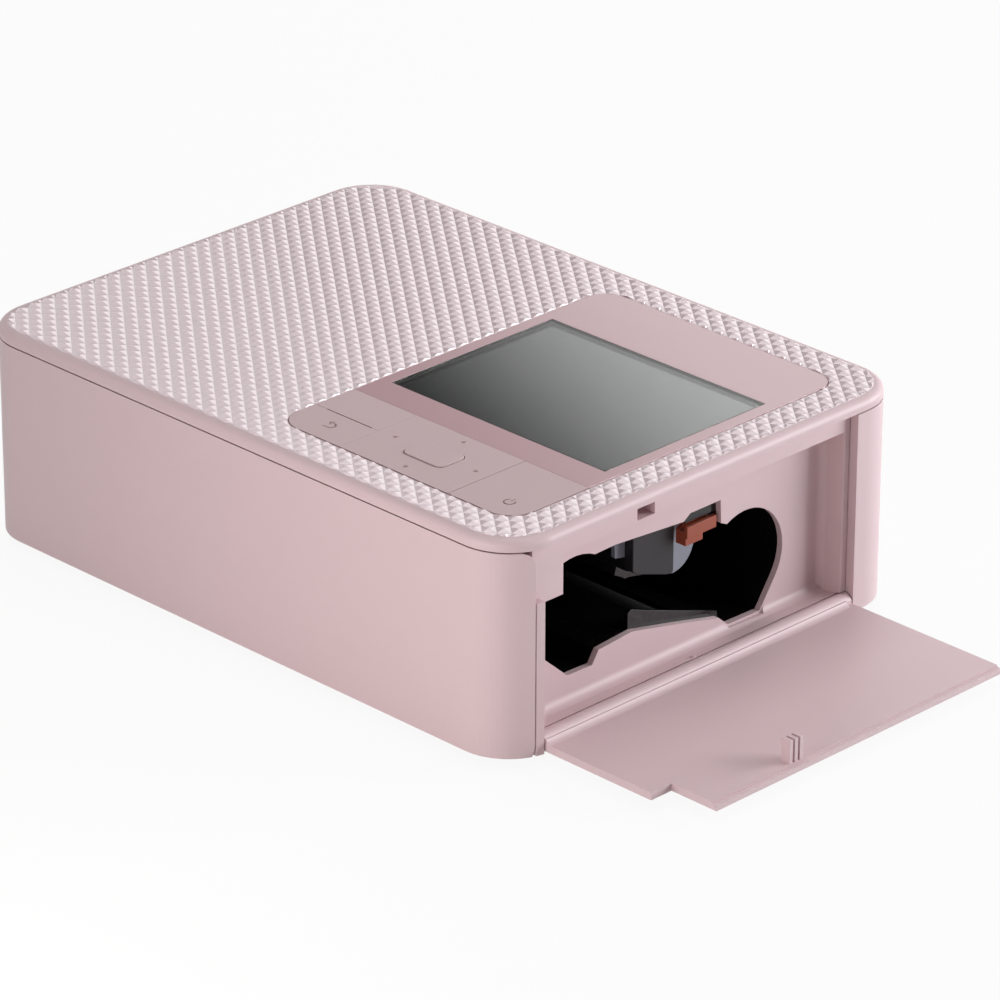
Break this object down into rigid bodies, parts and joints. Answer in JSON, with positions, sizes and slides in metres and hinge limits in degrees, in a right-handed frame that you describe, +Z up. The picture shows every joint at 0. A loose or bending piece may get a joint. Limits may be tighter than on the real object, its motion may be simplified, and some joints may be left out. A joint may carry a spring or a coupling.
{
  "type": "compact photo printer",
  "caption": "Compact photo printer with a tilting front cover, a drop-down cassette door, a display and key panel, a swinging print head, feed rollers, gears and a fan.",
  "frame": {"origin": "on the table under the middle of the whole object's box, with the cassette door open", "axes": "+X towards the cassette-door end, -Y the front with the front cover, +Z up from the feet to the top"},
  "size_m": [0.229, 0.133, 0.0576],
  "materials": {
    "pink_shell": "matte, light pink",
    "pink_keys": "satin, light pink",
    "pink_window": "glossy, light pink",
    "lcd_glass": "glossy dark grey",
    "black_plastic": "matte black",
    "black_gloss": "glossy black",
    "orange_plastic": "satin orange",
    "white_nylon": "satin, white",
    "rubber_black": "matte",
    "circuit_board": "satin green",
    "ceramic": "glazed, off-white",
    "heat_sink": "anodised dark grey",
    "chassis_steel": "zinc plated sheet",
    "shaft_steel": "ground",
    "motor_steel": "nickel plated",
    "socket_steel": "tin plated",
    "screw_steel": "zinc plated",
    "pinion_brass": "cut"
  },
  "bodies": {
    "casing": {"base_tray": "pink_shell", "rear_case": "pink_shell", "top_cover": "pink_shell", "bay_frame": "pink_shell", "rubber_feet": "rubber_black", "case_screws": "screw_steel", "key_plate": "black_plastic", "panel_board": "circuit_board", "tact_switches": "black_plastic", "display_window": "pink_window", "lcd_glass": "lcd_glass", "lcd_module": "chassis_steel", "cassette_liner": "black_gloss", "chassis_left": "chassis_steel", "chassis_right": "chassis_steel", "chassis_stay": "chassis_steel", "gear_bracket": "chassis_steel", "paper_guide": "black_plastic", "front_throat": "pink_shell", "head_shaft": "shaft_steel", "feed_motor": "motor_steel", "ribbon_motor": "motor_steel", "lever_pin": "shaft_steel", "main_board": "circuit_board", "board_parts": "black_plastic", "dc_jack": "black_plastic", "card_socket": "socket_steel", "usb_socket": "socket_steel", "fan_housing": "black_plastic"},
    "cassette_door": {"cassette_door": "pink_shell"},
    "front_cover": {"front_cover": "pink_shell"},
    "eject_lever": {"eject_lever": "orange_plastic"},
    "menu_key": {"menu_key": "pink_keys"},
    "back_key": {"back_key": "pink_keys"},
    "nav_key": {"nav_key": "pink_keys"},
    "ok_key": {"ok_key": "pink_keys"},
    "power_key": {"power_key": "pink_keys"},
    "print_head_arm": {"head_carrier": "chassis_steel", "heat_sink": "heat_sink", "print_head": "ceramic", "head_guard": "black_plastic"},
    "platen": {"platen_shaft": "shaft_steel", "platen_rubber": "rubber_black"},
    "capstan": {"capstan_roller": "shaft_steel", "capstan_gear": "white_nylon"},
    "pinch_roller": {"pinch_roller": "shaft_steel"},
    "pickup_roller": {"pickup_shaft": "shaft_steel", "pickup_tyres": "rubber_black", "pickup_gear": "white_nylon"},
    "feed_gear": {"feed_gear": "white_nylon"},
    "motor_pinion": {"motor_pinion": "pinion_brass"},
    "takeup_spool_drive": {"takeup_spindle": "white_nylon", "takeup_gear": "white_nylon"},
    "ribbon_pinion": {"ribbon_pinion": "pinion_brass"},
    "supply_spindle": {"supply_spindle": "white_nylon"},
    "fan_rotor": {"fan_rotor": "black_plastic"}
  },
  "joints": [
    {"name": "door_hinge", "type": "hinge", "parent": "casing", "child": "cassette_door", "pos_m": [0.06555, -0.0028, 0.0051], "axis": [0, -1, 0], "range_deg": [0, 90]},
    {"name": "front_cover_hinge", "type": "hinge", "parent": "casing", "child": "front_cover", "pos_m": [-0.02335, -0.0636, 0.0053], "axis": [1, 0, 0], "range_deg": [0, 90]},
    {"name": "eject_lever_pivot", "type": "hinge", "parent": "casing", "child": "eject_lever", "pos_m": [0.05565, 0.0185, 0.0434], "axis": [-1, 0, 0], "range_deg": [0, 5], "stiffness_Nm_per_rad": 0.05, "springref_deg": -5.73},
    {"name": "menu_key_press", "type": "slide", "parent": "casing", "child": "menu_key", "axis": [0, 0, -1], "range_m": [0, 0.0003], "stiffness_N_per_m": 5000, "springref_m": -0.0001},
    {"name": "back_key_press", "type": "slide", "parent": "casing", "child": "back_key", "axis": [0, 0, -1], "range_m": [0, 0.0003], "stiffness_N_per_m": 5000, "springref_m": -0.0001},
    {"name": "nav_key_press", "type": "slide", "parent": "casing", "child": "nav_key", "axis": [0, 0, -1], "range_m": [0, 0.0003], "stiffness_N_per_m": 5000, "springref_m": -0.0001},
    {"name": "ok_key_press", "type": "slide", "parent": "casing", "child": "ok_key", "axis": [0, 0, -1], "range_m": [0, 0.0003], "stiffness_N_per_m": 5000, "springref_m": -0.0001},
    {"name": "power_key_press", "type": "slide", "parent": "casing", "child": "power_key", "axis": [0, 0, -1], "range_m": [0, 0.0003], "stiffness_N_per_m": 5000, "springref_m": -0.0001},
    {"name": "head_swing", "type": "hinge", "parent": "casing", "child": "print_head_arm", "pos_m": [-0.00435, 0.0295, 0.0425], "axis": [1, 0, 0], "range_deg": [0, 17], "stiffness_Nm_per_rad": 0.2, "springref_deg": -20.05},
    {"name": "platen_spin", "type": "hinge", "parent": "casing", "child": "platen", "pos_m": [-0.06935, 0, 0.0086], "axis": [1, 0, 0], "continuous": true},
    {"name": "capstan_spin", "type": "hinge", "parent": "casing", "child": "capstan", "pos_m": [-0.06935, -0.026, 0.009], "axis": [1, 0, 0], "continuous": true},
    {"name": "pinch_spin", "type": "hinge", "parent": "casing", "child": "pinch_roller", "pos_m": [-0.06935, -0.026, 0.01335], "axis": [1, 0, 0], "continuous": true},
    {"name": "pickup_spin", "type": "hinge", "parent": "casing", "child": "pickup_roller", "pos_m": [-0.06935, -0.0424, 0.0095], "axis": [1, 0, 0], "continuous": true},
    {"name": "feed_gear_spin", "type": "hinge", "parent": "casing", "child": "feed_gear", "pos_m": [-0.06935, -0.0316, 0.0147], "axis": [1, 0, 0], "continuous": true},
    {"name": "motor_spin", "type": "hinge", "parent": "casing", "child": "motor_pinion", "pos_m": [-0.06935, -0.02312, 0.02319], "axis": [1, 0, 0], "continuous": true},
    {"name": "takeup_spin", "type": "hinge", "parent": "casing", "child": "takeup_spool_drive", "pos_m": [-0.06935, 0.0205, 0.0225], "axis": [1, 0, 0], "continuous": true},
    {"name": "ribbon_motor_spin", "type": "hinge", "parent": "casing", "child": "ribbon_pinion", "pos_m": [-0.06935, 0.02969, 0.03169], "axis": [1, 0, 0], "continuous": true},
    {"name": "supply_spin", "type": "hinge", "parent": "casing", "child": "supply_spindle", "pos_m": [-0.06935, -0.0365, 0.0284], "axis": [1, 0, 0], "continuous": true},
    {"name": "fan_spin", "type": "hinge", "parent": "casing", "child": "fan_rotor", "pos_m": [-0.04215, 0.06, 0.027], "axis": [0, 1, 0], "continuous": true}
  ],
  "couplings": [
    {"joint": "feed_gear_spin", "follows": "capstan_spin", "ratio": -1},
    {"joint": "motor_spin", "follows": "capstan_spin", "ratio": 3},
    {"joint": "pickup_spin", "follows": "capstan_spin", "ratio": 3},
    {"joint": "pinch_spin", "follows": "capstan_spin", "ratio": -1.7333},
    {"joint": "ribbon_motor_spin", "follows": "takeup_spin", "ratio": -3.3333}
  ]
}
